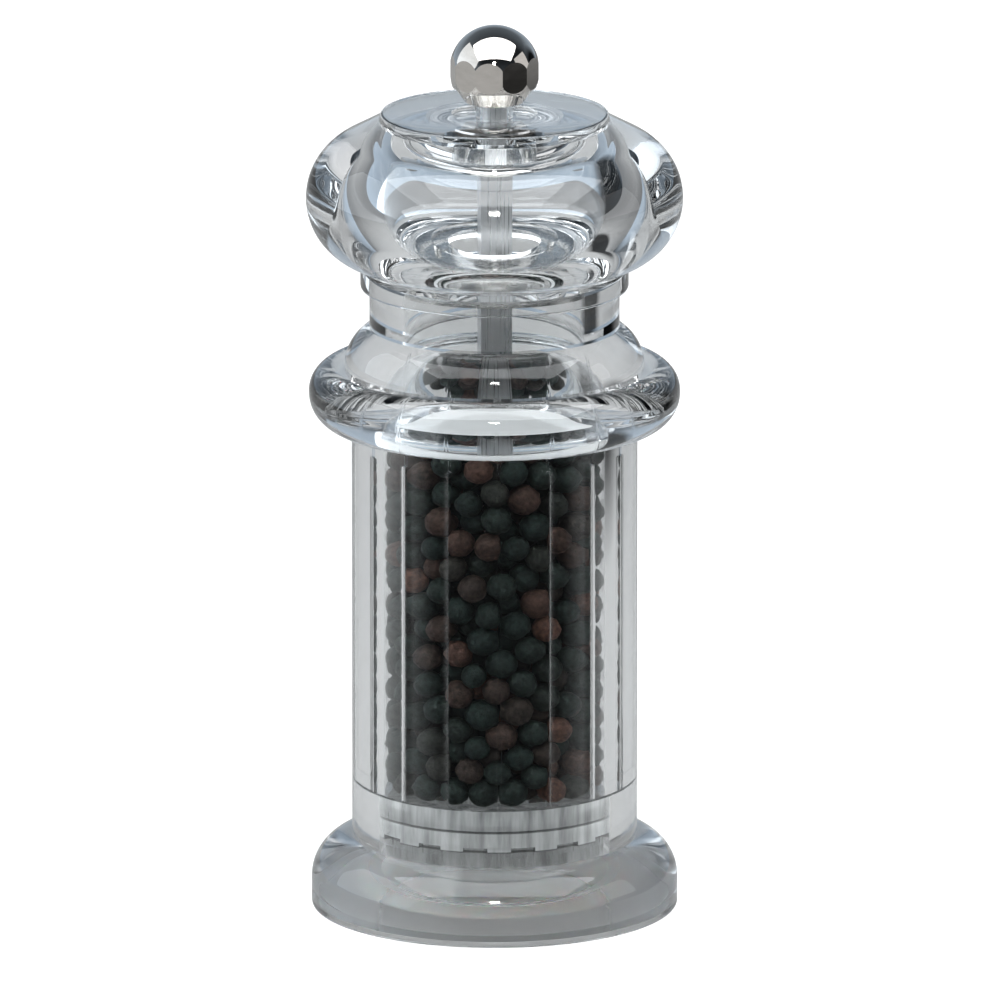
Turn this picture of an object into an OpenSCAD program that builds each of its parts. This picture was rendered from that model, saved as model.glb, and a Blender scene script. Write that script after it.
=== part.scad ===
// Clear acrylic pepper mill with a square-bar spindle, an adjustable conical
// grinder and a faceted ball knob. Millimetres, +Z up, origin at the centre of
// the foot's resting face.

/* [Body] */
// Radius of the foot
foot_r = 28.5; // [27.5:0.1:30]
// Height of the foot's straight side
foot_side_h = 4.4; // [3.5:0.1:5]
// Radius of the rounded shoulder over the foot
shoulder_r = 6.9; // [6.6:0.1:7.2]
// Outside radius of the tube
tube_r = 22.2; // [21.9:0.1:23]
// Radius of the pepper chamber
bore_r = 17.2; // [16.8:0.1:17.4]
// Number of flutes down the chamber's wall
flutes = 15; // [12:1:18]
// Radius of the flange under the head
flange_r = 28.8; // [28:0.1:30]
// Height of the flange's widest line
flange_z = 82; // [81.5:0.1:82.3]
// Height of the joint between body and head
joint_z = 92.4; // [92.1:0.1:92.6]

/* [Head] */
// Radius of the head's bulb
bulb_r = 29.2; // [28.8:0.1:30]
// Radius of the section of the bulb's rim
bulb_round = 10.6; // [10.4:0.1:10.8]
// Radius of the head's neck
neck_r = 19.4; // [19.2:0.1:19.8]
// Radius of the disc let into the top
disc_r = 17.5; // [17:0.1:17.6]
// Radius of the cavity in the bulb where it is widest
cavity_r = 17.2; // [16.8:0.1:17.4]

/* [Knob] */
// Radius of the knob's ball
knob_r = 7; // [6.9:0.05:7.1]
// Distance from the knob's axis to its flats
knob_flat = 6.55; // [6.5:0.05:6.6]
// Number of flats round the knob
knob_flats = 10; // [8:1:10]

/* [Spindle and grinder] */
// Width across the flats of the square spindle
spindle_w = 4.76; // [4.6:0.02:4.8]
// Angle that the spindle's flats stand at
spindle_turn = 8; // [0:1:45]
// Major radius of the thread under the knob
thread_r = 1.95; // [1.9:0.01:1.96]
// Height of the chamber's floor, where the mechanism seats
seat_z = 19.5; // [19.3:0.1:19.7]
// Radius of the counterbore that holds the mechanism
seat_r = 18; // [17.8:0.1:18.2]
// Largest radius of the grinding rotor
rotor_r = 10.4; // [10:0.1:10.6]
// Sideways gap between rotor and ring at the stored setting
grind_gap = 0.4; // [0.35:0.01:0.5]
// Number of fine teeth on the rotor
rotor_teeth = 26; // [20:1:30]

/* [Hidden] */

$fn = 96;
over = 1;             // how far a cutter runs past a face
slip = 0.05;          // clearance of a running fit
seat_gap = 0.1;       // clearance of a piece set into a seat

clear_acrylic = [0.86, 0.90, 0.92, 0.45];
clear_mechanism = [0.80, 0.84, 0.86, 0.6];
white_ceramic = [0.90, 0.89, 0.86];
natural_nylon = [0.85, 0.84, 0.80];
bright_steel = [0.74, 0.74, 0.73];
polished_bar = [0.80, 0.81, 0.82];
chrome = [0.78, 0.76, 0.74];
pepper_brown = [0.17, 0.12, 0.10];

// Body
foot_edge = 0.6;
foot_recess = [20.4, 26.0, 0.7];     // inner radius, outer radius and depth
flange_low_r = 5.1;
flange_top_r = 4.1;
flange_flat = 0.4;
flange_top_z = flange_z + flange_flat / 2 + flange_top_r;
collar_round = 7;
collar_z = joint_z - 6.4;
collar_r = 23.3;
flute_r = 0.85;
flute_depth = 0.12;
flute_top_z = 73.4;
flute_turn = 2.2;
mouth_bevel = 0.4;

// Mechanism, from the foot up
ring_groove_z = 2.9;
ring_h = 1;
ring_groove_r = seat_r + 0.8;
carrier_z = ring_groove_z + ring_h + 0.1;
band_z = seat_z - 6.7;
bridge_z = seat_z - 3.4;
mech_r = seat_r - seat_gap;
carrier_low_r = 17;
carrier_bore_r = 13.4;
notches = 16;                         // round the lower edge of the carrier's band
notch_depth = 1.1;
notch_h = 0.8;
notch_w = 3.6;
grind_z = 5.2;                        // bottom of the rotor
fine_h = 3.2;                         // height of the fine teeth
cone_slope = 0.3125;                  // how fast the fine teeth narrow going up
rotor_top_z = 11;
funnel_r = 12.4;
bush_r = 3.45;
bush_flange_r = 4.9;
bush_flange_h = 0.7;
washer_h = 0.5;
bush_z = bridge_z - bush_flange_h - 0.1;
washer_z = bush_z - washer_h;
wire_r = 0.4;
spring_r = 3.95;
spring_turns = 3.5;

// Head, measured up from the joint
bead_r = 20.8;
bead_round = 0.6;
bead_z = joint_z + 6.1;
bulb_low_z = joint_z + 9.6;           // where the bead meets the bulb
hollow_r = 14;                        // hollow from below, in spigot and neck
hollow_top_z = joint_z + 7.6;
cavity_round = 4.9;                   // radius of the section of the bulb's cavity
cavity_z = joint_z + 19;
cavity_top_r = 10.6;
floor_z = cavity_z - cavity_round;    // floor of the bulb's cavity
floor_step_r = 10;
floor_step_h = 0.5;
web_hole_r = 7.3;                     // hole through the floor of the cavity
spigot_r = bore_r - 0.3;
spigot_z = joint_z - 13.8;
spigot_ring_z = spigot_z + 1.4;
spigot_ring_h = 1.2;
spigot_groove_r = spigot_r - 0.5;
head_gap = 0.1;
bulb_z = joint_z + 20.4;
bulb_cr = bulb_r - bulb_round;
slope_angle = 62;
disc_h = 2.2;
disc_top_z = joint_z + 33.8;
disc_z = disc_top_z - disc_h;
disc_dish_r = 6.7;
disc_dish_h = 0.6;
hub_r = 2.9;
hub_top_z = disc_top_z + 1.4;
plate_r = hollow_r - 0.2;
plate_h = 1;
plate_z = hollow_top_z - plate_h - 0.02;
plate_screw_at = 9.2;
plate_screw_r = 0.58;
plate_screw_h = 3.5;

// Knob
knob_washer_h = 0.5;
knob_base_z = hub_top_z + knob_washer_h;
knob_base_r = 4.6;
knob_turn = 28.6;
knob_z = knob_base_z + 4.9;
knob_skirt_z = knob_z - 2.6;

spindle_low_z = grind_z - 0.1;
square_top_z = disc_z - 1;
thread_top_z = knob_z + 3.4;
diagonal_r = spindle_w / 2 * sqrt(2);
fill_top_z = spigot_z - 0.4;

// A solid of revolution about Z from its half outline.
module turned() { rotate_extrude($fn = 96) children(); }

// A rectangle in the half plane, from one radius and height to another.
module span(r0, z0, r1, z1) { translate([r0, z0]) square([r1 - r0, z1 - z0]); }

// A square bar or hole standing at the spindle's angle.
module square_bar(width, z0, z1) {
    rotate(spindle_turn)
        translate([-width / 2, -width / 2, z0]) cube([width, width, z1 - z0]);
}

// A disc with a round hole.
module ring(outer, inner, z, h) { turned() span(inner, z, outer, z + h); }

module body_outline() {
    span(0, 0, foot_r - foot_edge, foot_side_h);
    span(0, foot_edge, foot_r, foot_side_h);
    translate([foot_r - foot_edge, foot_edge]) circle(foot_edge);
    intersection() {
        translate([foot_r - shoulder_r, foot_side_h]) circle(shoulder_r);
        span(0, foot_side_h, foot_r, foot_side_h + shoulder_r);
    }
    span(0, 0, tube_r, collar_z);
    intersection() {
        translate([flange_r - flange_low_r, flange_z - flange_flat / 2]) circle(flange_low_r);
        span(tube_r - over, flange_z - 2 * flange_low_r, flange_r, flange_z - flange_flat / 2);
    }
    span(tube_r - over, flange_z - flange_flat / 2 - flange_low_r,
        flange_r - flange_low_r, flange_top_z);
    span(tube_r - over, flange_z - flange_flat / 2, flange_r, flange_z + flange_flat / 2);
    intersection() {
        translate([flange_r - flange_top_r, flange_z + flange_flat / 2]) circle(flange_top_r);
        span(tube_r - over, flange_z + flange_flat / 2, flange_r, flange_top_z);
    }
    intersection() {
        translate([collar_r - collar_round, collar_z]) circle(collar_round);
        span(0, collar_z, collar_r, joint_z);
    }
    span(0, collar_z, collar_r - collar_round, joint_z);
}

// Shallow flutes down the chamber's wall.
module chamber_flutes() {
    for (i = [0:flutes - 1]) rotate(flute_turn - 90 + i * 360 / flutes)
        translate([bore_r + flute_depth - flute_r, 0, seat_z - over])
            cylinder(r = flute_r, h = flute_top_z - seat_z + over, $fn = 32);
}

module body_shell() {
    color(clear_acrylic) difference() {
        turned() difference() {
            body_outline();
            span(-over, -over, bore_r, joint_z + over);
            polygon([[bore_r - over, joint_z - mouth_bevel - over],
                [bore_r + mouth_bevel + over, joint_z + over], [bore_r - over, joint_z + over]]);
            span(-over, -over, seat_r, seat_z);
            span(-over, ring_groove_z - 0.05, ring_groove_r, ring_groove_z + ring_h + 0.05);
            span(foot_recess[0], -over, foot_recess[1], foot_recess[2]);
        }
        chamber_flutes();
    }
}

// Three arms hold the bush's hub in the middle of the seat.
module bearing_bridge() {
    hub = 5.4;
    arm_w = 2.4;
    rim_r = carrier_bore_r;
    color(clear_mechanism) difference() {
        union() {
            ring(mech_r, rim_r, bridge_z, seat_z - bridge_z);
            ring(hub, bush_r + slip, bridge_z, seat_z - bridge_z);
            for (a = [0:120:240]) rotate(a + 30)
                translate([hub - 0.6, -arm_w / 2, bridge_z + 0.4])
                    cube([rim_r - hub + 1.2, arm_w, 2.2]);
        }
        translate([0, 0, bridge_z - over])
            cylinder(r = bush_r + slip, h = seat_z - bridge_z + 2 * over);
    }
}

// Holds the grinding ring. The notches round its band stop it turning.
module ring_carrier() {
    color(clear_mechanism) difference() {
        turned() {
            span(carrier_bore_r, carrier_z, carrier_low_r, bridge_z);
            span(carrier_bore_r, band_z, mech_r, bridge_z);
            span(rotor_r + 1.1, carrier_z, carrier_low_r, carrier_z + 1);
        }
        for (i = [0:notches - 1]) rotate(flute_turn - 90 + (i + 0.5) * 360 / notches)
            translate([mech_r - notch_depth, -notch_w / 2, band_z - over])
                cube([notch_depth + over, notch_w, notch_h + over]);
    }
}

// Radius of the ring's inner cone and of the rotor's outer cone at a height.
function ring_cone(z) = rotor_r + grind_gap - cone_slope * (z - grind_z);
function rotor_cone(z) = rotor_r - cone_slope * (z - grind_z);

// Outer grinding ring: a funnel that closes down to a toothed cone.
module grinding_ring() {
    low = carrier_z + 1.05;
    top = bridge_z - 0.1;
    waist = grind_z + fine_h;
    teeth = 36;
    ribs = 9;
    color(white_ceramic) difference() {
        turned() polygon([[ring_cone(low), low], [carrier_bore_r - 0.05, low],
            [carrier_bore_r - 0.05, top], [funnel_r, top], [ring_cone(waist), waist]]);
        for (i = [0:teeth - 1]) rotate(i * 360 / teeth)
            translate([ring_cone(low) - 0.35, -0.35, low - over])
                rotate([0, -atan(cone_slope), 0]) cube([0.8, 0.7, waist - low + over]);
        for (i = [0:ribs - 1]) rotate(i * 360 / ribs)
            translate([ring_cone(waist) - 0.5, -0.9, waist + 0.2])
                rotate([0, atan((funnel_r - ring_cone(waist)) / (top - waist)), 0])
                    cube([1.1, 1.8, top - waist + over]);
    }
}

module retaining_ring() {
    color(natural_nylon) difference() {
        ring(ring_groove_r - 0.1, seat_r - 1.6, ring_groove_z, ring_h);
        translate([0, -2, ring_groove_z - over]) cube([ring_groove_r, 4, ring_h + 2 * over]);
    }
}

// The room that the peppercorns take in the chamber.
module peppercorn_fill() {
    color(pepper_brown)
        ring(bore_r - 0.15, diagonal_r + 0.25, seat_z + 0.15, fill_top_z - seat_z - 0.15);
}

// Turns in the bridge with the spindle, which slides in its square hole.
module spindle_bush() {
    color(natural_nylon) difference() {
        union() {
            translate([0, 0, bush_z]) cylinder(r = bush_r, h = seat_z + 0.1 - bush_z);
            translate([0, 0, bush_z]) cylinder(r = bush_flange_r, h = bush_flange_h);
        }
        square_bar(spindle_w + 2 * slip, bush_z - over, seat_z + over);
    }
}

module thrust_washer() {
    color(bright_steel) ring(bush_flange_r, diagonal_r + 0.1, washer_z, washer_h - 0.02);
}

// A round tube swept along a path of points.
module swept(path, radius, sides) {
    steps = len(path);
    tangent = [for (i = [0:steps - 1])
        let (t = path[min(i + 1, steps - 1)] - path[max(i - 1, 0)]) t / norm(t)];
    points = [for (i = [0:steps - 1])
        let (side = cross([0, 0, 1], tangent[i]), u = side / norm(side), v = cross(tangent[i], u))
        for (k = [0:sides - 1])
            path[i] + radius * (cos(k * 360 / sides) * u + sin(k * 360 / sides) * v)];
    walls = [for (i = [0:steps - 2]) for (k = [0:sides - 1])
        let (m = (k + 1) % sides)
        [i * sides + k, i * sides + m, (i + 1) * sides + m, (i + 1) * sides + k]];
    ends = [[for (k = [sides - 1:-1:0]) k], [for (k = [0:sides - 1]) (steps - 1) * sides + k]];
    polyhedron(points, concat(walls, ends), convexity = 6);
}

// Height of the spring's wire after a share of its turns, with closed ends.
function spring_height(share) = share * share * (3 - 2 * share);

module grinder_spring() {
    low = rotor_top_z + wire_r + 0.02;
    high = washer_z - wire_r - 0.02;
    steps = round(spring_turns * 26);
    color(bright_steel) swept([for (i = [0:steps])
        let (a = i / steps * spring_turns * 360)
        [spring_r * cos(a), spring_r * sin(a), low + (high - low) * spring_height(i / steps)]],
        wire_r, 10);
}

module spindle() {
    screw_hole_h = 6;
    color(polished_bar) difference() {
        union() {
            square_bar(spindle_w, spindle_low_z, square_top_z);
            translate([0, 0, square_top_z - over])
                cylinder(r = thread_r, h = thread_top_z - square_top_z + over);
        }
        translate([0, 0, spindle_low_z - over]) cylinder(r = 1.25, h = screw_hole_h + over);
    }
}

// Grinding cone with fine teeth below and slanting breaker ribs above.
module grinding_rotor() {
    waist = grind_z + fine_h;
    core_low = rotor_cone(waist) - 1.2;
    core_top = 5.2;
    ribs = 6;
    rib_lean = 24;
    color(white_ceramic) difference() {
        union() {
            translate([0, 0, grind_z]) cylinder(r1 = rotor_r, r2 = rotor_cone(waist), h = fine_h);
            translate([0, 0, waist]) cylinder(r1 = core_low, r2 = core_top, h = rotor_top_z - waist);
            intersection() {
                translate([0, 0, waist - 0.5])
                    cylinder(r1 = rotor_cone(waist) - 0.1, r2 = core_top + 0.6,
                        h = rotor_top_z - waist + 0.3);
                for (i = [0:ribs - 1]) rotate(i * 360 / ribs)
                    translate([0, 0, waist - 0.6]) rotate([rib_lean, 0, 0])
                        translate([core_top - 2, -0.8, -over]) cube([6, 1.6, 5]);
            }
        }
        for (i = [0:rotor_teeth - 1]) rotate(i * 360 / rotor_teeth)
            translate([rotor_r - 0.55, 0, grind_z - over])
                rotate([0, -atan(cone_slope), 0]) rotate(45)
                    translate([-0.1, -0.1, 0]) cube([1.4, 1.4, fine_h + 1.4]);
        square_bar(spindle_w + 0.06, grind_z - over, rotor_top_z + over);
    }
}

module rotor_washer() { color(bright_steel) ring(4.6, 1.3, spindle_low_z - 0.62, 0.6); }

module rotor_screw() {
    head_top = spindle_low_z - 0.64;
    color(bright_steel) difference() {
        union() {
            translate([0, 0, head_top - 1.3]) cylinder(r1 = 1.9, r2 = 2.3, h = 0.6);
            translate([0, 0, head_top - 0.7]) cylinder(r = 2.3, h = 0.7);
            translate([0, 0, head_top - 0.2]) cylinder(r = 1.2, h = 5.8);
        }
        for (a = [0, 90]) rotate(a)
            translate([-1.5, -0.25, head_top - 1.3 - over]) cube([3, 0.5, 0.7 + over]);
    }
}

module bulb_outline() {
    edge_r = bulb_cr + bulb_round * cos(slope_angle);
    edge_z = bulb_z + bulb_round * sin(slope_angle);
    rim_r = disc_r + 0.35;
    rim_z = edge_z + (edge_r - rim_r) / tan(slope_angle);
    translate([bulb_cr, bulb_z]) circle(bulb_round);
    polygon([[0, bulb_low_z], [bead_r, bulb_low_z], [bulb_cr + 4.4, bulb_z - 9.2], [edge_r, bulb_z],
        [edge_r, edge_z], [rim_r, rim_z], [disc_r + 0.15, disc_top_z - 0.1],
        [0, disc_top_z - 0.1]]);
}

// The bulb's cavity bulges like the bulb itself, with a straight mouth above.
module cavity_outline() {
    translate([cavity_r - cavity_round, cavity_z]) circle(cavity_round);
    span(-over, floor_z, cavity_r - cavity_round, cavity_z + cavity_round);
    span(-over, cavity_z, cavity_top_r, disc_z + over);
}

// Bulb, bead, neck and spigot in one piece, hollow from above and from below.
module head_shell() {
    color(clear_acrylic) difference() {
        turned() difference() {
            union() {
                bulb_outline();
                span(0, bead_z + bead_round, bead_r, bulb_low_z + over);
                span(0, bead_z, bead_r - bead_round, bulb_low_z);
                translate([bead_r - bead_round, bead_z + bead_round]) circle(bead_round);
                span(0, joint_z + head_gap, neck_r, bead_z + over);
                span(0, spigot_z, spigot_r, joint_z + over);
            }
            cavity_outline();
            span(-over, disc_z, disc_r + slip, disc_top_z + over);
            span(-over, floor_z - floor_step_h, floor_step_r, floor_z + over);
            span(-over, hollow_top_z - over, web_hole_r, floor_z);
            span(-over, spigot_z - over, hollow_r, hollow_top_z);
            span(spigot_groove_r, spigot_ring_z - slip,
                spigot_r + over, spigot_ring_z + spigot_ring_h + slip);
        }
        for (a = [0, 180]) rotate(a + spindle_turn)
            translate([plate_screw_at, 0, hollow_top_z - over])
                cylinder(r = plate_screw_r + slip, h = plate_screw_h + over, $fn = 32);
    }
}

// Soft ring that steadies the head in the body's bore.
module spigot_ring() {
    color(clear_mechanism)
        ring(bore_r - slip, spigot_groove_r + slip, spigot_ring_z, spigot_ring_h);
}

module head_top_disc() {
    hub_hole = thread_r + 0.3;
    color(clear_acrylic) turned() difference() {
        union() {
            span(0, disc_z + 0.05, disc_r, disc_top_z - 0.3);
            span(0, disc_z + 0.05, disc_r - 0.3, disc_top_z);
            translate([disc_r - 0.3, disc_top_z - 0.3]) circle(0.3, $fn = 32);
            span(0, disc_z, hub_r, hub_top_z);
        }
        span(hub_r, disc_top_z - disc_dish_h, disc_dish_r, disc_top_z + over);
        span(-over, disc_z - over, hub_hole, hub_top_z + over);
    }
}

// Steel plate under the cavity's floor, whose square hole lets the head turn the spindle.
module drive_plate() {
    color(bright_steel) difference() {
        translate([0, 0, plate_z]) cylinder(r = plate_r, h = plate_h);
        square_bar(spindle_w + 2 * slip, plate_z - over, hollow_top_z + over);
        for (a = [0, 180]) rotate(a + spindle_turn)
            translate([plate_screw_at, 0, plate_z - over])
                cylinder(r = plate_screw_r + 2 * slip, h = plate_h + 2 * over, $fn = 32);
    }
}

module drive_plate_screws() {
    head_r = 1.2;
    head_h = 0.5;
    slot_w = 0.3;
    color(bright_steel) for (a = [0, 180]) rotate(a + spindle_turn)
        translate([plate_screw_at, 0, plate_z - head_h - 0.02]) difference() {
            union() {
                cylinder(r = head_r, h = head_h, $fn = 32);
                cylinder(r = plate_screw_r, h = head_h + plate_h + plate_screw_h - 0.3, $fn = 32);
            }
            translate([-head_r - over, -slot_w / 2, -over])
                cube([2 * (head_r + over), slot_w, over + head_h / 2]);
        }
}

module knob_washer() {
    color(natural_nylon) ring(hub_r, thread_r + 0.1, hub_top_z + 0.02, knob_washer_h - 0.04);
}

// A ball with flats round its middle and a straight skirt under them.
module adjusting_knob() {
    color(chrome) difference() {
        union() {
            intersection() {
                translate([0, 0, knob_z]) sphere(knob_r);
                translate([0, 0, knob_skirt_z]) cylinder(r = knob_r, h = 2 * knob_r);
                rotate(knob_turn) translate([0, 0, knob_skirt_z - over])
                    cylinder(r = knob_flat / cos(180 / knob_flats), h = 2 * knob_r + over,
                        $fn = knob_flats);
            }
            translate([0, 0, knob_base_z])
                cylinder(r1 = knob_base_r, r2 = 6.3, h = knob_skirt_z - knob_base_z);
        }
        translate([0, 0, knob_base_z - over])
            cylinder(r = thread_r + slip, h = thread_top_z + 1.2 - knob_base_z + over);
    }
}

body_shell();
bearing_bridge();
ring_carrier();
grinding_ring();
retaining_ring();
peppercorn_fill();
spindle_bush();
thrust_washer();
grinder_spring();
spindle();
grinding_rotor();
rotor_washer();
rotor_screw();
head_shell();
spigot_ring();
head_top_disc();
drive_plate();
drive_plate_screws();
knob_washer();
adjusting_knob();
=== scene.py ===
"""Looks of a clear acrylic pepper mill: turned clear shells, a bright square spindle, a polished
faceted knob, the grinder in the foot and a chamber of peppercorns. Metres, +Z up, lengths named
in millimetres are multiplied by MM."""
import math

import bmesh
import bpy
import numpy as np
from mathutils import Euler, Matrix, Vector, noise


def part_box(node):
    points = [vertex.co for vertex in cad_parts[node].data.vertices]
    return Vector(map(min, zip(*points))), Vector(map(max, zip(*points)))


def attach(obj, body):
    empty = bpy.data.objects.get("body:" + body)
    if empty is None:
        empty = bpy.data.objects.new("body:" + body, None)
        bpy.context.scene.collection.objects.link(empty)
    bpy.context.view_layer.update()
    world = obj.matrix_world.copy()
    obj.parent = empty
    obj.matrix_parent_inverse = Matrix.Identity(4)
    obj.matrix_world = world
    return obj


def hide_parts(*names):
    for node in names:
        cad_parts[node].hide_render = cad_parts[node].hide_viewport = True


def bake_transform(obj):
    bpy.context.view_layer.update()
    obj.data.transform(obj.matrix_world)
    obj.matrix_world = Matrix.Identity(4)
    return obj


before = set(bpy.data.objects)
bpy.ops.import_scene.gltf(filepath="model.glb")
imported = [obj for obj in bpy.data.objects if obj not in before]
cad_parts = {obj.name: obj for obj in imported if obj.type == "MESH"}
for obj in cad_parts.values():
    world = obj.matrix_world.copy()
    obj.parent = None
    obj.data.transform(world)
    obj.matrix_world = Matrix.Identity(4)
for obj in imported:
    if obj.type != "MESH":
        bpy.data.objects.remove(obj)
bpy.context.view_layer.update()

MM = 0.001
# Dark mats on the table: middle and stretch, and how far out it is dark and pale again
DARK_MATS = [((0.03, -0.28, 0), (0.45, 1, 1), 0.20, 0.27),      # in front of the mill
             ((0.40, 0.20, 0), (1, 1, 1), 0.14, 0.22)]          # behind it on the right
MAT_SHADE = 0.04            # share of the table's paleness that is left on a mat
TABLE_LIGHT = 0.18          # glow of the lit table top
GROUND_WHITE = 1.0          # glow of the clean ground that the camera sees
LATHE_STEPS = 252           # columns round a turned piece
ACRYLIC_IOR = 1.49


# ---------------------------------------------------------------- places, from the frame

def size_mm(node):
    low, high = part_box(node)
    return [v / MM for v in low], [v / MM for v in high]


body_high = size_mm("body_shell")[1]
head_high = size_mm("head_shell")[1]
fill_low, fill_high = size_mm("peppercorn_fill")
disc_low, disc_high = size_mm("head_top_disc")

# Body, in millimetres
JOINT_Z = body_high[2]
FLANGE_R = body_high[0]
FOOT_R = 28.5
FOOT_EDGE = 0.6
FOOT_SIDE_H = 4.4
SHOULDER_R = 6.9
TUBE_R = 22.2
FLANGE_Z = 82.0
FLANGE_LOW_R = 5.1
FLANGE_TOP_R = 4.1
FLANGE_FLAT = 0.4
COLLAR_R = 23.3
COLLAR_ROUND = 7.0
COLLAR_Z = JOINT_Z - 6.4
BORE_R = 17.2
MOUTH_BEVEL = 0.4
SEAT_R = 18.0
SEAT_Z = 19.5
RING_GROOVE = (18.8, 2.85, 3.95)
FOOT_RECESS = (20.4, 26.0, 0.7)
FLUTES = 15
FLUTE_R = 0.85
FLUTE_DEPTH = 0.12
FLUTE_END = 0.5
FLUTE_TOP_Z = 73.4
FLUTE_TURN = math.radians(2.2 - 90)
CARRIER_RIM_Z = 12.8        # lower rim of the ring carrier's notched band, drawn with a line of painted shade
CARRIER_TOP_Z = 16.1        # seam between the carrier and the bridge above it, drawn with a line of painted shade
CARRIER_RECESS_R = 17.1     # what lies deeper than this gets painted shade

# Head, in millimetres
BEAD_R = 20.8
BEAD_ROUND = 0.6
BEAD_Z = JOINT_Z + 6.1
NECK_R = 19.4
BULB_ROUND = 10.6
BULB_CR = head_high[0] - BULB_ROUND
BULB_LOW_Z = JOINT_Z + 9.6
BULB_Z = JOINT_Z + 20.4
SLOPE_ANGLE = 62
CAVITY_R = 17.2
CAVITY_ROUND = 4.9
CAVITY_Z = JOINT_Z + 19.0
CAVITY_TOP_R = 10.6
FLOOR_Z = CAVITY_Z - CAVITY_ROUND
FLOOR_STEP = (10.0, 0.5)
WEB_HOLE_R = 7.3
DISC_TOP_Z = JOINT_Z + 33.8
DISC_Z = disc_low[2]
DISC_R = disc_high[0]
HOLLOW_R = 14.0
HOLLOW_TOP_Z = JOINT_Z + 7.6
SPIGOT_R = 16.9
SPIGOT_Z = JOINT_Z - 13.8
SPIGOT_GROOVE = (0.5, 1.35, 2.65)       # depth, and its edges above the spigot's end
BULB_LOW_ANGLE = -72.4
JOINT_GAP = 0.1
DISC_GAP = 0.05


# ---------------------------------------------------------------- outlines and turned meshes

def arc(cx, cz, radius, start, end, steps=24):
    """Points of an arc in the half plane, with angles in degrees."""
    angles = np.radians(np.linspace(start, end, steps + 1))
    return [(cx + radius * math.cos(a), cz + radius * math.sin(a)) for a in angles]


def straight(start, end, steps):
    """Points along a straight run, both ends included."""
    return [tuple(np.array(start) + (np.array(end) - np.array(start)) * t)
            for t in np.linspace(0, 1, steps + 1)]


def clean_outline(points, least=0.004):
    """Drops points that repeat the one before, so that no face is a sliver."""
    kept = []
    for p in points:
        if not kept or math.dist(p, kept[-1]) > least:
            kept.append(p)
    if math.dist(kept[0], kept[-1]) <= least:
        kept.pop()
    return kept


def add_mesh(name, vertices, faces, sharp_angle=28):
    mesh = bpy.data.meshes.new(name)
    mesh.from_pydata([Vector(v) * MM for v in vertices], [], faces)
    mesh.validate()
    mesh.polygons.foreach_set("use_smooth", [True] * len(mesh.polygons))
    mesh.set_sharp_from_angle(angle=math.radians(sharp_angle))
    obj = bpy.data.objects.new(name, mesh)
    bpy.context.scene.collection.objects.link(obj)
    return obj


def even_angles(steps=LATHE_STEPS):
    return np.arange(steps) * 2 * math.pi / steps


def turned(name, outline, angles=None, shape=None):
    """Revolves a closed outline about Z. shape(r, z, angle) may change a point's radius."""
    outline = clean_outline(outline)
    angles = even_angles() if angles is None else angles
    rows, columns = len(outline), len(angles)
    vertices = []
    for a in angles:
        for r, z in outline:
            radius = shape(r, z, a) if shape else r
            vertices.append((radius * math.cos(a), radius * math.sin(a), z))
    faces = []
    for c in range(columns):
        n = (c + 1) % columns
        for k in range(rows):
            m = (k + 1) % rows
            faces.append((c * rows + k, n * rows + k, n * rows + m, c * rows + m))
    return add_mesh(name, vertices, faces)


def flute_angles():
    """Columns that fall on both edges of every flute."""
    half = math.sqrt(2 * FLUTE_R * FLUTE_DEPTH) / BORE_R
    pitch = 2 * math.pi / FLUTES
    inside = np.linspace(-half, half, 11)
    between = np.linspace(half, pitch - half, 9)[1:-1]
    one = np.concatenate([inside, between])
    return np.concatenate([FLUTE_TURN + i * pitch + one for i in range(FLUTES)])


def fluted(r, z, angle):
    """Radius of the bore with its shallow round-ended flutes."""
    if abs(r - BORE_R) > 0.01 or z > FLUTE_TOP_Z or z < SEAT_Z - 0.01:
        return r
    fade = min((FLUTE_TOP_Z - z) / FLUTE_END, 1)
    axis_r = BORE_R + FLUTE_DEPTH * math.sqrt(fade * (2 - fade)) - FLUTE_R
    pitch = 2 * math.pi / FLUTES
    off = (angle - FLUTE_TURN + pitch / 2) % pitch - pitch / 2
    root = FLUTE_R ** 2 - (axis_r * math.sin(off)) ** 2
    return max(r, axis_r * math.cos(off) + math.sqrt(root)) if root > 0 else r


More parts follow.
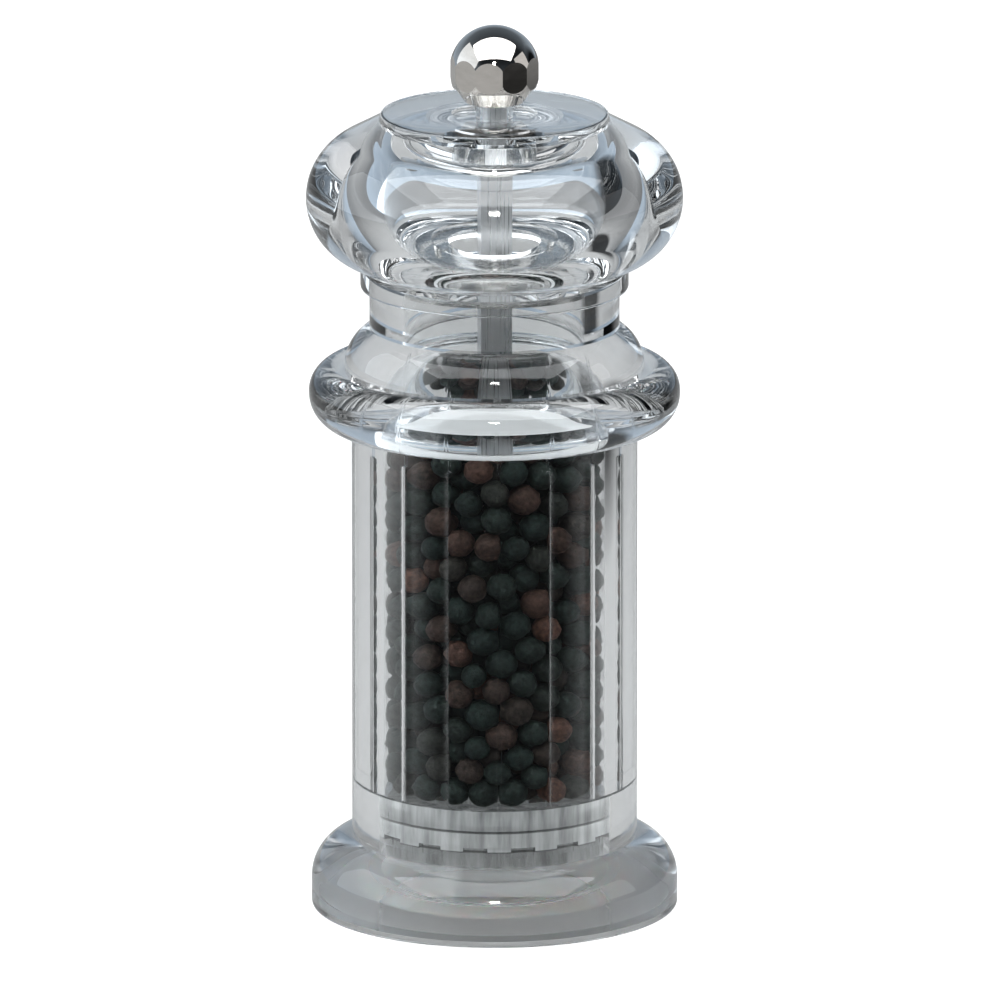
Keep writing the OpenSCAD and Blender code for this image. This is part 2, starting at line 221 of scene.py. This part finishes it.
def body_outline():
    shoulder_x = FOOT_R - SHOULDER_R
    shoulder_end = math.degrees(math.acos((TUBE_R - shoulder_x) / SHOULDER_R))
    flange_low_z = FLANGE_Z - FLANGE_FLAT / 2
    flange_top_z = FLANGE_Z + FLANGE_FLAT / 2
    collar_x = COLLAR_R - COLLAR_ROUND
    collar_start = math.degrees(math.asin((flange_top_z + FLANGE_TOP_R - COLLAR_Z) / COLLAR_ROUND))
    collar_end = math.degrees(math.asin((JOINT_Z - COLLAR_Z) / COLLAR_ROUND))
    inner, outer, depth = FOOT_RECESS
    groove_r, groove_low, groove_high = RING_GROOVE
    flute_end = straight((BORE_R, FLUTE_TOP_Z), (BORE_R, FLUTE_TOP_Z - FLUTE_END), 8)
    return ([(SEAT_R, 0), (inner, 0), (inner, depth), (outer, depth), (outer, 0)]
            + arc(FOOT_R - FOOT_EDGE, FOOT_EDGE, FOOT_EDGE, -90, 0, 8)
            + arc(shoulder_x, FOOT_SIDE_H, SHOULDER_R, 0, shoulder_end, 28)
            + straight((TUBE_R, 12), (TUBE_R, flange_low_z - FLANGE_LOW_R), 12)
            + arc(FLANGE_R - FLANGE_LOW_R, flange_low_z, FLANGE_LOW_R, -90, 0, 28)
            + arc(FLANGE_R - FLANGE_TOP_R, flange_top_z, FLANGE_TOP_R, 0, 90, 28)
            + arc(collar_x, COLLAR_Z, COLLAR_ROUND, collar_start, collar_end, 28)
            + [(BORE_R + MOUTH_BEVEL, JOINT_Z), (BORE_R, JOINT_Z - MOUTH_BEVEL)]
            + flute_end
            + straight((BORE_R, FLUTE_TOP_Z - FLUTE_END), (BORE_R, SEAT_Z), 12)
            + [(SEAT_R, SEAT_Z), (SEAT_R, groove_high), (groove_r, groove_high),
               (groove_r, groove_low), (SEAT_R, groove_low)])


def cavity_curve():
    """The bulb's cavity, from its mouth down and in to the step in its floor."""
    centre_r = CAVITY_R - CAVITY_ROUND
    start = math.degrees(math.acos((CAVITY_TOP_R - centre_r) / CAVITY_ROUND))
    return ([(CAVITY_TOP_R, DISC_Z)] + arc(centre_r, CAVITY_Z, CAVITY_ROUND, start, -90, 44)
            + [(FLOOR_STEP[0], FLOOR_Z), (FLOOR_STEP[0], FLOOR_Z - FLOOR_STEP[1])])


def head_outline():
    edge_r = BULB_CR + BULB_ROUND * math.cos(math.radians(SLOPE_ANGLE))
    edge_z = BULB_Z + BULB_ROUND * math.sin(math.radians(SLOPE_ANGLE))
    rim_r = DISC_R + 0.35
    rim_z = edge_z + (edge_r - rim_r) / math.tan(math.radians(SLOPE_ANGLE))
    groove_depth, groove_low, groove_high = SPIGOT_GROOVE
    groove_r = SPIGOT_R - groove_depth
    groove_low_z, groove_high_z = SPIGOT_Z + groove_low, SPIGOT_Z + groove_high
    return ([(HOLLOW_R, SPIGOT_Z), (SPIGOT_R, SPIGOT_Z), (SPIGOT_R, groove_low_z),
             (groove_r, groove_low_z), (groove_r, groove_high_z), (SPIGOT_R, groove_high_z),
             (SPIGOT_R, JOINT_Z + JOINT_GAP), (NECK_R, JOINT_Z + JOINT_GAP), (NECK_R, BEAD_Z)]
            + arc(BEAD_R - BEAD_ROUND, BEAD_Z + BEAD_ROUND, BEAD_ROUND, -90, 0, 8)
            + [(BEAD_R, BULB_LOW_Z)]
            + arc(BULB_CR, BULB_Z, BULB_ROUND, BULB_LOW_ANGLE, SLOPE_ANGLE, 48)
            + straight((edge_r, edge_z), (rim_r, rim_z), 8)[1:]
            + [(DISC_R + 0.15, DISC_TOP_Z - 0.1), (DISC_R + DISC_GAP, DISC_TOP_Z - 0.1),
               (DISC_R + DISC_GAP, DISC_Z)]
            + cavity_curve()
            + [(WEB_HOLE_R, FLOOR_Z - FLOOR_STEP[1]), (WEB_HOLE_R, HOLLOW_TOP_Z),
               (HOLLOW_R, HOLLOW_TOP_Z)])


def disc_outline():
    hub_r, hub_top, hub_edge = 2.9, disc_high[2], 0.25
    dish_r, dish_z = 6.7, DISC_TOP_Z - 0.6
    hole_r, rim_edge = 2.25, 0.3
    return ([(hole_r, DISC_Z), (DISC_R, DISC_Z + 0.05)]
            + arc(DISC_R - rim_edge, DISC_TOP_Z - rim_edge, rim_edge, 0, 90, 6)
            + [(dish_r, DISC_TOP_Z), (dish_r, dish_z), (hub_r, dish_z)]
            + arc(hub_r - hub_edge, hub_top - hub_edge, hub_edge, 0, 90, 5)
            + [(hole_r, hub_top)])


# ---------------------------------------------------------------- node helpers

def new_material(name):
    material = bpy.data.materials.new(name)
    material.use_nodes = True
    nodes = material.node_tree.nodes
    shader = nodes["Principled BSDF"]
    return material, nodes, material.node_tree.links, shader


def new_math(nodes, links, kind, operation, values):
    """A math node of one kind. A value is an output socket, or what its input is set to."""
    node = nodes.new(kind)
    node.operation = operation
    for socket, value in zip(node.inputs, values):
        if isinstance(value, bpy.types.NodeSocket):
            links.new(value, socket)
        else:
            socket.default_value = value
    return node


def number_math(nodes, links, operation, *values):
    return new_math(nodes, links, "ShaderNodeMath", operation, values).outputs["Value"]


def vector_math(nodes, links, operation, *values):
    return new_math(nodes, links, "ShaderNodeVectorMath", operation, values)


def scaled(nodes, links, vector, factor):
    """A vector or colour times a number."""
    node = vector_math(nodes, links, "SCALE", vector)
    links.new(factor, node.inputs["Scale"])
    return node.outputs["Vector"]


def upward(nodes, links, vector):
    """The Z part of a vector."""
    node = nodes.new("ShaderNodeSeparateXYZ")
    links.new(vector, node.inputs["Vector"])
    return node.outputs["Z"]


def object_position(nodes, links, scale=(1, 1, 1)):
    coordinates = nodes.new("ShaderNodeTexCoord")
    mapping = nodes.new("ShaderNodeMapping")
    mapping.inputs["Scale"].default_value = scale
    links.new(coordinates.outputs["Object"], mapping.inputs["Vector"])
    return mapping.outputs["Vector"]


def axis_distance(nodes, links):
    """How far a point lies from the mill's axis."""
    flat = object_position(nodes, links, (1, 1, 0))
    return vector_math(nodes, links, "LENGTH", flat).outputs["Value"]


def noise_texture(nodes, links, vector, scale, detail=4.0, roughness=0.5):
    texture = nodes.new("ShaderNodeTexNoise")
    texture.inputs["Scale"].default_value = scale
    texture.inputs["Detail"].default_value = detail
    texture.inputs["Roughness"].default_value = roughness
    links.new(vector, texture.inputs["Vector"])
    return texture.outputs["Fac"]


def remap(nodes, links, value, low, high, to_low, to_high):
    node = nodes.new("ShaderNodeMapRange")
    node.inputs["From Min"].default_value = low
    node.inputs["From Max"].default_value = high
    node.inputs["To Min"].default_value = to_low
    node.inputs["To Max"].default_value = to_high
    links.new(value, node.inputs["Value"])
    return node.outputs["Result"]


def colour_ramp(nodes, links, value, stops):
    """Colour that runs through the (position, colour) stops as value goes from 0 to 1."""
    ramp = nodes.new("ShaderNodeValToRGB")
    elements = ramp.color_ramp.elements
    elements[0].position, elements[1].position = stops[0][0], stops[-1][0]
    for position, _ in stops[1:-1]:
        elements.new(position)
    for element, (_, colour) in zip(elements, stops):
        element.color = (*colour, 1)
    links.new(value, ramp.inputs["Fac"])
    return ramp.outputs["Color"]


def add_bump(nodes, links, shader, height, distance):
    bump = nodes.new("ShaderNodeBump")
    bump.inputs["Strength"].default_value = 1.0
    bump.inputs["Distance"].default_value = distance
    links.new(height, bump.inputs["Height"])
    links.new(bump.outputs["Normal"], shader.inputs["Normal"])


# ---------------------------------------------------------------- materials

def clear_plastic(name, tint, rough, wave, clear=1.0, glow=0.0):
    """Clear moulded plastic with faint flow waves and wiping marks. A glow stands for the light
    that gathers in it."""
    material, nodes, links, shader = new_material(name)
    shader.inputs["Base Color"].default_value = (*tint, 1)
    shader.inputs["Transmission Weight"].default_value = clear
    shader.inputs["IOR"].default_value = ACRYLIC_IOR
    shader.inputs["Emission Color"].default_value = (0.93, 0.98, 1, 1)
    shader.inputs["Emission Strength"].default_value = glow
    marks = noise_texture(nodes, links, object_position(nodes, links, (1, 1, 0.15)), 300, 4, 0.6)
    links.new(remap(nodes, links, marks, 0.4, 0.8, *rough), shader.inputs["Roughness"])
    waves = noise_texture(nodes, links, object_position(nodes, links), 60, 2)
    add_bump(nodes, links, shader, waves, wave)
    return material


def grind_matt(material, under_z, under_matt, seat_r, seat_z, seat_matt):
    """Grinds the faces under under_z matt, and those inside seat_r and below seat_z."""
    nodes, links = material.node_tree.nodes, material.node_tree.links
    shader = nodes["Principled BSDF"]
    polish = shader.inputs["Roughness"].links[0].from_socket
    height = upward(nodes, links, object_position(nodes, links))
    reach = axis_distance(nodes, links)
    inside = remap(nodes, links, reach, seat_r, seat_r * 1.01, 1, 0)
    low = remap(nodes, links, height, seat_z, seat_z * 1.02, seat_matt, 0)
    under = remap(nodes, links, height, under_z, under_z * 1.2, under_matt, 0)
    seat = number_math(nodes, links, "MULTIPLY", inside, low)
    ground = number_math(nodes, links, "MAXIMUM", seat, under)
    links.new(number_math(nodes, links, "MAXIMUM", polish, ground), shader.inputs["Roughness"])


def shade_edges(material, rim_z, seam_z, recess_r, glow):
    """Paints shade onto clear parts: darkens the undersides, the sides of notches, a line at the
    rim at rim_z, a line at the seam at seam_z and what lies deeper than recess_r, as painted shade
    where the edges of clear parts look dark. The rest gets a faint streaky painted glow, which
    stands in for the light that gathers in clear plastic."""
    nodes, links = material.node_tree.nodes, material.node_tree.links
    shader = nodes["Principled BSDF"]
    dark_face, dark_line, dark_recess = 0.12, 0.2, 0.5
    line_half, line_fade, recess_fade = 0.12 * MM, 0.28 * MM, 0.4 * MM
    brightest = 1.4

    normal = nodes.new("ShaderNodeNewGeometry").outputs["True Normal"]
    upper = remap(nodes, links, upward(nodes, links, normal), -0.8, -0.3, dark_face, 1)
    flat = object_position(nodes, links, (1, 1, 0))
    outwards = vector_math(nodes, links, "NORMALIZE", flat).outputs["Vector"]
    across = vector_math(nodes, links, "CROSS_PRODUCT", normal, outwards).outputs["Vector"]
    sideways = number_math(nodes, links, "ABSOLUTE", upward(nodes, links, across))
    reach = axis_distance(nodes, links)
    height = upward(nodes, links, object_position(nodes, links))
    streaks = noise_texture(nodes, links, object_position(nodes, links, (1, 1, 0.12)), 520, 3, 0.6)
    shares = [remap(nodes, links, sideways, 0.5, 0.9, 1, dark_face),
              remap(nodes, links, reach, recess_r, recess_r + recess_fade, dark_recess, 1),
              remap(nodes, links, streaks, 0.35, 0.68, 0.55, 1.45)]
    for line_z in (rim_z, seam_z):
        above = number_math(nodes, links, "SUBTRACT", height, line_z)
        off_line = number_math(nodes, links, "ABSOLUTE", above)
        shares.append(remap(nodes, links, off_line, line_half, line_fade, dark_line, 1))
    light = upper
    for share in shares:
        light = number_math(nodes, links, "MULTIPLY", light, share)

    tint = shader.inputs["Base Color"].default_value[:3]
    # The base colour carries the painted shade, and the emission carries the painted glow.
    links.new(scaled(nodes, links, tint, light), shader.inputs["Base Color"])
    shader.inputs["Emission Color"].default_value = (0.93, 0.99, 1, 1)
    links.new(remap(nodes, links, light, 0, brightest, 0, brightest * glow),
              shader.inputs["Emission Strength"])


def metal(name, tint, rough, grain, grain_scale, metallic=1.0):
    """Bright metal with drawn or turned grain along one direction."""
    material, nodes, links, shader = new_material(name)
    shader.inputs["Metallic"].default_value = metallic
    lines = noise_texture(nodes, links, object_position(nodes, links, grain_scale), 1, 5, 0.65)
    links.new(remap(nodes, links, lines, 0.35, 0.7, *rough), shader.inputs["Roughness"])
    darker = [c * 0.86 for c in tint]
    links.new(colour_ramp(nodes, links, lines, [(0.3, darker), (0.7, tint)]),
              shader.inputs["Base Color"])
    add_bump(nodes, links, shader, lines, grain)
    return material


def moulded(name, low_colour, high_colour, grain_size, roughness, bump):
    """Matt moulded or fired material with a fine grain. grain_size is the noise's scale, detail
    and roughness."""
    material, nodes, links, shader = new_material(name)
    grain = noise_texture(nodes, links, object_position(nodes, links), *grain_size)
    links.new(colour_ramp(nodes, links, grain, [(0, low_colour), (1, high_colour)]),
              shader.inputs["Base Color"])
    shader.inputs["Roughness"].default_value = roughness
    add_bump(nodes, links, shader, grain, bump)
    return material


def nylon():
    material = moulded("natural_nylon", (0.66, 0.65, 0.60), (0.82, 0.81, 0.77), (400, 3, 0.5),
                       0.38, 0.00002)
    shader = material.node_tree.nodes["Principled BSDF"]
    shader.inputs["Subsurface Weight"].default_value = 0.3
    shader.inputs["Subsurface Scale"].default_value = 0.001
    return material


def peppercorn_skin():
    """Dry wrinkled skin. The tone attribute makes some corns reddish brown."""
    material, nodes, links, shader = new_material("peppercorns")
    tone = nodes.new("ShaderNodeAttribute")
    tone.attribute_name = "tone"
    colour = colour_ramp(nodes, links, tone.outputs["Fac"],
                         [(0.0, (0.009, 0.025, 0.020)), (0.40, (0.016, 0.031, 0.024)),
                          (0.62, (0.055, 0.036, 0.027)), (0.82, (0.110, 0.052, 0.035)),
                          (1.0, (0.180, 0.084, 0.054))])
    wrinkle = noise_texture(nodes, links, object_position(nodes, links), 1500, 6, 0.65)
    shade = remap(nodes, links, wrinkle, 0.3, 0.7, 0.45, 1.5)
    # The colour follows the same wrinkle noise as the bump: painted shade in the creases and
    # painted light on the crests.
    links.new(scaled(nodes, links, colour, shade), shader.inputs["Base Color"])
    links.new(remap(nodes, links, wrinkle, 0.3, 0.7, 0.75, 0.5), shader.inputs["Roughness"])
    add_bump(nodes, links, shader, wrinkle, 0.00025)
    return material


def floor_material():
    """A pale table top lit from below, with dark mats on it, so that little light shines back
    from the front of the tube. Seen directly it is a clean white ground."""
    material, nodes, links, shader = new_material("pale_floor")
    grain = noise_texture(nodes, links, object_position(nodes, links), 40, 3)
    colour = colour_ramp(nodes, links, grain, [(0, (0.29, 0.29, 0.285)), (1, (0.33, 0.33, 0.325))])
    off_mats = []
    for place, stretch, dark_to, pale_from in DARK_MATS:
        spot = object_position(nodes, links, stretch)
        reach = vector_math(nodes, links, "DISTANCE", spot, place).outputs["Value"]
        off_mats.append(remap(nodes, links, reach, dark_to, pale_from, MAT_SHADE, 1.0))
    pale = number_math(nodes, links, "MULTIPLY", *off_mats)
    links.new(scaled(nodes, links, colour, pale), shader.inputs["Base Color"])
    shader.inputs["Roughness"].default_value = 0.9
    shader.inputs["Specular IOR Level"].default_value = 0.1
    shader.inputs["Emission Color"].default_value = (1, 1, 1, 1)
    path = nodes.new("ShaderNodeLightPath")
    seen = remap(nodes, links, path.outputs["Is Camera Ray"], 0, 1, 0, GROUND_WHITE)
    lit = remap(nodes, links, pale, 0, 1, 0, TABLE_LIGHT)
    links.new(number_math(nodes, links, "MAXIMUM", seen, lit), shader.inputs["Emission Strength"])
    return material


ACRYLIC_TINT = (0.985, 0.992, 0.995)
ACRYLIC_ROUGH = (0.0, 0.004)
MOULDED_TINT = (0.98, 0.99, 0.99)

CLEAR = clear_plastic("clear_acrylic", ACRYLIC_TINT, ACRYLIC_ROUGH, 0.00001)
BODY_CLEAR = clear_plastic("clear_body", ACRYLIC_TINT, ACRYLIC_ROUGH, 0.00001)
grind_matt(BODY_CLEAR, under_z=0.1 * MM, under_matt=0.12, seat_r=19 * MM, seat_z=8.5 * MM,
           seat_matt=0.75)
HAZY = clear_plastic("clear_mechanism", MOULDED_TINT, (0.04, 0.12), 0.00003, clear=0.66)
# Painted shade on the mechanism's undersides, notch sides, rim line, seam line and recesses, with
# a streaky painted glow.
shade_edges(HAZY, CARRIER_RIM_Z * MM, CARRIER_TOP_Z * MM, CARRIER_RECESS_R * MM, glow=0.125)
# The soft ring gets a painted glow (glow=0.20) that stands in for the light gathering in it.
SOFT = clear_plastic("soft_ring", MOULDED_TINT, (0.10, 0.20), 0.00003, clear=0.55, glow=0.20)
CERAMIC = moulded("white_ceramic", (0.62, 0.60, 0.56), (0.86, 0.85, 0.82), (2500, 4, 0.6),
                  0.55, 0.00003)
NYLON = nylon()
STEEL = metal("bright_steel", (0.74, 0.73, 0.71), (0.18, 0.34), 0.000004, (600, 600, 4000))
BAR = metal("polished_bar", (0.86, 0.87, 0.88), (0.24, 0.40), 0.000006, (2500, 2500, 40),
            metallic=0.7)
KNOB = metal("knob_metal", (0.66, 0.62, 0.58), (0.03, 0.06), 0.000001, (300, 300, 900))
PEPPER = peppercorn_skin()


def finish_piece(obj, material, body, node):
    obj.data.materials.append(material)
    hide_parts(node)
    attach(obj, body)


# ---------------------------------------------------------------- clear shells

finish_piece(turned("body_clear", body_outline(), flute_angles(), fluted),
             BODY_CLEAR, "mill_body", "body_shell")
finish_piece(turned("head_clear", head_outline()), CLEAR, "head", "head_shell")
finish_piece(turned("top_disc_clear", disc_outline()), CLEAR, "head",
             "head_top_disc")


# ---------------------------------------------------------------- peppercorns

CORN_SEED = 7
CORN_MEAN_R = 2.15
CORN_SIZES = (0.06, 0.86, 1.14)         # spread round 1, least and largest
CORN_STRETCH = (0.04, 0.92, 1.04)       # the same, for the stretch along each axis
CORN_TONES = (1.1, 2.0)     # beta distribution: few corns are reddish brown
FINE_CORNS = (9, 3)         # number of shapes, and how finely each is divided
COARSE_CORNS = (4, 2)
CORN_FILL = 0.61            # share of the chamber that the corns take
WALL_LAYER = 5.2            # corns this near the chamber's wall get the finer mesh
SETTLE_ROUNDS = 260
PUSH_SHARE = 0.42           # share of an overlap that each round takes away
SINK = 0.01                 # how far a corn sinks in each round
RIDGES = (2.6, 0.07)        # spacing and height of the wrinkles
FINE_RIDGES = (5.5, 0.045)


def fill_inner_r():
    """Inner radius of the CAD ring that holds the corns' place."""
    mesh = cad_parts["peppercorn_fill"].data
    return min(math.hypot(v.co.x, v.co.y) for v in mesh.vertices) / MM


def packed_corns(rng):
    """Places corns in the ring-shaped chamber and pushes them apart until they only touch."""
    inner, outer = fill_inner_r(), fill_high[0]
    low, high = fill_low[2], fill_high[2]
    volume = math.pi * (outer ** 2 - inner ** 2) * (high - low)
    count = int(CORN_FILL * volume / (4 / 3 * math.pi * CORN_MEAN_R ** 3))
    spread, least, largest = CORN_SIZES
    radius = CORN_MEAN_R * rng.normal(1, spread, count).clip(least, largest)
    angle = rng.uniform(0, 2 * math.pi, count)
    reach = np.sqrt(rng.uniform((inner + 2) ** 2, (outer - 2) ** 2, count))
    places = np.stack([reach * np.cos(angle), reach * np.sin(angle),
                       rng.uniform(low + 2, high - 2, count)], 1)
    for _ in range(SETTLE_ROUNDS):
        gap = places[:, None] - places[None]
        distance = np.sqrt((gap ** 2).sum(2)) + np.eye(count) * 1e3
        overlap = (radius[:, None] + radius[None] - distance).clip(0)
        places += (gap * (overlap / distance)[..., None]).sum(1) * PUSH_SHARE
        places[:, 2] -= SINK
        flat = np.hypot(places[:, 0], places[:, 1])
        places[:, :2] *= (flat.clip(inner + radius, outer - radius) / flat)[:, None]
        places[:, 2] = places[:, 2].clip(low + radius, high - radius)
    return places, radius


def corn_shapes(rng, kinds, detail):
    """Unit corns with a net of wrinkles pressed into them."""
    shapes = []
    for kind in range(kinds):
        bm = bmesh.new()
        bmesh.ops.create_icosphere(bm, subdivisions=detail, radius=1)
        offset = Vector(rng.uniform(-50, 50, 3))
        for v in bm.verts:
            d = v.co.normalized()
            ridge = 1 - abs(noise.noise(d * RIDGES[0] + offset)) * 2
            fine = 1 - abs(noise.noise(d * FINE_RIDGES[0] + offset * 1.7)) * 2
            v.co = d * (1 + RIDGES[1] * (ridge - 0.6) + FINE_RIDGES[1] * (fine - 0.6))
        shapes.append((np.array([v.co for v in bm.verts]),
                       np.array([[v.index for v in f.verts] for f in bm.faces])))
        bm.free()
    return shapes


def make_peppercorns():
    rng = np.random.default_rng(CORN_SEED)
    places, radius = packed_corns(rng)
    fine, coarse = corn_shapes(rng, *FINE_CORNS), corn_shapes(rng, *COARSE_CORNS)
    spread, least, largest = CORN_STRETCH
    wall = fill_high[0] - WALL_LAYER
    vertices, faces, tones, start = [], [], [], 0
    for place, r in zip(places, radius):
        near_wall = math.hypot(place[0], place[1]) > wall
        shapes = fine if near_wall or place[2] > fill_high[2] - WALL_LAYER else coarse
        points, polygons = shapes[rng.integers(len(shapes))]
        turn = np.array(Euler(rng.uniform(0, 2 * math.pi, 3)).to_matrix())
        stretch = rng.normal(1, spread, 3).clip(least, largest)
        vertices.append((points * stretch * r) @ turn.T + place)
        faces.append(polygons + start)
        tones.append(np.full(len(points), rng.beta(*CORN_TONES)))
        start += len(points)
    obj = add_mesh("peppercorns", np.concatenate(vertices).tolist(),
                   np.concatenate(faces).tolist(), 180)
    tone = obj.data.attributes.new("tone", "FLOAT", "POINT")
    tone.data.foreach_set("value", np.concatenate(tones))
    return obj


finish_piece(make_peppercorns(), PEPPER, "mill_body", "peppercorn_fill")


# ---------------------------------------------------------------- grinder spring

SPRING_R = 3.95
SPRING_WIRE_R = 0.29        # finer than in the CAD, so that the turns stay apart when squeezed
SPRING_TURNS = 3.5
SPRING_STEPS = 170
WIRE_SIDES = 14


def make_spring():
    """Helix of round wire that is squeezed between the thrust washer and the rotor."""
    low, high = size_mm("grinder_spring")
    start = low[2] + SPRING_WIRE_R
    rise = high[2] - low[2] - 2 * SPRING_WIRE_R
    vertices, faces = [], []
    for share in np.linspace(0, 1, SPRING_STEPS + 1):
        angle = share * SPRING_TURNS * 2 * math.pi
        for side in even_angles(WIRE_SIDES):
            radius = SPRING_R + SPRING_WIRE_R * math.cos(side)
            vertices.append((radius * math.cos(angle), radius * math.sin(angle),
                             start + rise * share + SPRING_WIRE_R * math.sin(side)))
    for i in range(SPRING_STEPS):
        for k in range(WIRE_SIDES):
            here, after = i * WIRE_SIDES, (k + 1) % WIRE_SIDES
            faces.append((here + k, here + WIRE_SIDES + k, here + WIRE_SIDES + after,
                          here + after))
    faces.append(tuple(range(WIRE_SIDES)))
    faces.append(tuple(range(len(vertices) - 1, len(vertices) - 1 - WIRE_SIDES, -1)))
    spring = add_mesh("spring_wire", vertices, faces, 40)
    spring.data.materials.append(STEEL)
    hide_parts("grinder_spring")
    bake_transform(spring)


make_spring()


# ---------------------------------------------------------------- carried-over CAD nodes

def paint(node, material):
    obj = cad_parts[node]
    obj.data.materials.clear()
    obj.data.materials.append(material)


for node, material in {
        "bearing_bridge": HAZY, "ring_carrier": HAZY, "spigot_ring": SOFT,
        "grinding_ring": CERAMIC, "grinding_rotor": CERAMIC, "retaining_ring": NYLON,
        "spindle_bush": NYLON, "knob_washer": NYLON, "thrust_washer": STEEL,
        "rotor_washer": STEEL, "rotor_screw": STEEL,
        "drive_plate": STEEL, "drive_plate_screws": STEEL, "spindle": BAR,
        "adjusting_knob": KNOB}.items():
    paint(node, material)


# ---------------------------------------------------------------- studio

ELEVATION = math.radians(14)
CAMERA_DISTANCE = 3.5
CAMERA_TARGET = (0.85, 0, 64.5)
PIXELS_PER_MM = 6.44
SENSOR_MM = 36
IMAGE_SIDE = 1000
FLOOR_HALF = 9000
FLOOR_LEVEL = -0.3
PANELS_AIM = (0, 0, 0.07)   # in metres, as the panels' places are


def make_camera():
    data = bpy.data.cameras.new("camera")
    data.sensor_width = SENSOR_MM
    data.lens = PIXELS_PER_MM * CAMERA_DISTANCE / MM * SENSOR_MM / IMAGE_SIDE
    data.clip_end = 50
    camera = bpy.data.objects.new("camera", data)
    target = Vector(CAMERA_TARGET) * MM
    back = Vector((0, -math.cos(ELEVATION), math.sin(ELEVATION)))
    camera.location = target + back * CAMERA_DISTANCE
    camera.rotation_euler = back.to_track_quat("Z", "Y").to_euler()
    bpy.context.scene.collection.objects.link(camera)
    bpy.context.scene.camera = camera


def make_floor():
    corners = [(-1, -1), (1, -1), (1, 1), (-1, 1)]
    floor = add_mesh("floor", [(x * FLOOR_HALF, y * FLOOR_HALF, FLOOR_LEVEL) for x, y in corners],
                     [(0, 1, 2, 3)])
    floor.data.materials.append(floor_material())


def soft_panel(name, place, size, radiance, colour=(1, 1, 1)):
    """A flat light that faces the mill, as bright as a white card of that radiance."""
    data = bpy.data.lights.new(name, "AREA")
    data.shape = "RECTANGLE"
    data.size, data.size_y = size
    data.energy = radiance * math.pi * size[0] * size[1]
    data.color = colour
    light = bpy.data.objects.new(name, data)
    light.location = place
    facing = Vector(place) - Vector(PANELS_AIM)
    light.rotation_euler = facing.to_track_quat("Z", "Y").to_euler()
    bpy.context.scene.collection.objects.link(light)


def make_world():
    """A studio all round: a pale backdrop behind with a dark flag in it on the right, grey
    overhead, a dark room on the near side."""
    sky_tint = (0.69, 0.84, 1.0)
    levels = [(0.0, 0.66), (0.12, 0.53), (0.28, 0.46), (0.5, 0.20), (1.0, 0.08)]
    away_from_room, near_level = (-0.5, 0.87, 0), 0.14
    towards_flag, flag_level = (0.87, 0.49, 0), 0.03
    world = bpy.data.worlds.new("studio")
    bpy.context.scene.world = world
    world.use_nodes = True
    nodes, links = world.node_tree.nodes, world.node_tree.links
    background = nodes["Background"]
    around = nodes.new("ShaderNodeTexCoord").outputs["Generated"]
    stops = [(height, [level * c for c in sky_tint]) for height, level in levels]
    links.new(colour_ramp(nodes, links, upward(nodes, links, around), stops),
              background.inputs["Color"])
    away = vector_math(nodes, links, "DOT_PRODUCT", around, away_from_room).outputs["Value"]
    flag = vector_math(nodes, links, "DOT_PRODUCT", around, towards_flag).outputs["Value"]
    strength = number_math(nodes, links, "MULTIPLY",
                           remap(nodes, links, away, -0.35, 0.2, near_level, 1.0),
                           remap(nodes, links, flag, 0.88, 0.96, 1.0, flag_level))
    links.new(strength, background.inputs["Strength"])


make_camera()
make_floor()
make_world()
soft_panel("overhead", (0, -0.20, 0.75), (1.3, 0.8), 3.6, (0.95, 0.98, 1))
soft_panel("left_panel", (-1.4, -0.1, 0.7), (2.0, 1.3), 1.2, (0.92, 0.97, 1))
soft_panel("right_panel", (1.4, -0.2, 0.6), (1.0, 0.8), 0.8)
soft_panel("front_spot", (0, -1.27, 0.86), (0.16, 0.16), 45)

scene = bpy.context.scene
scene.view_settings.view_transform = "Standard"
scene.cycles.max_bounces = 32
scene.cycles.transmission_bounces = 32
scene.cycles.glossy_bounces = 12
scene.cycles.transparent_max_bounces = 16
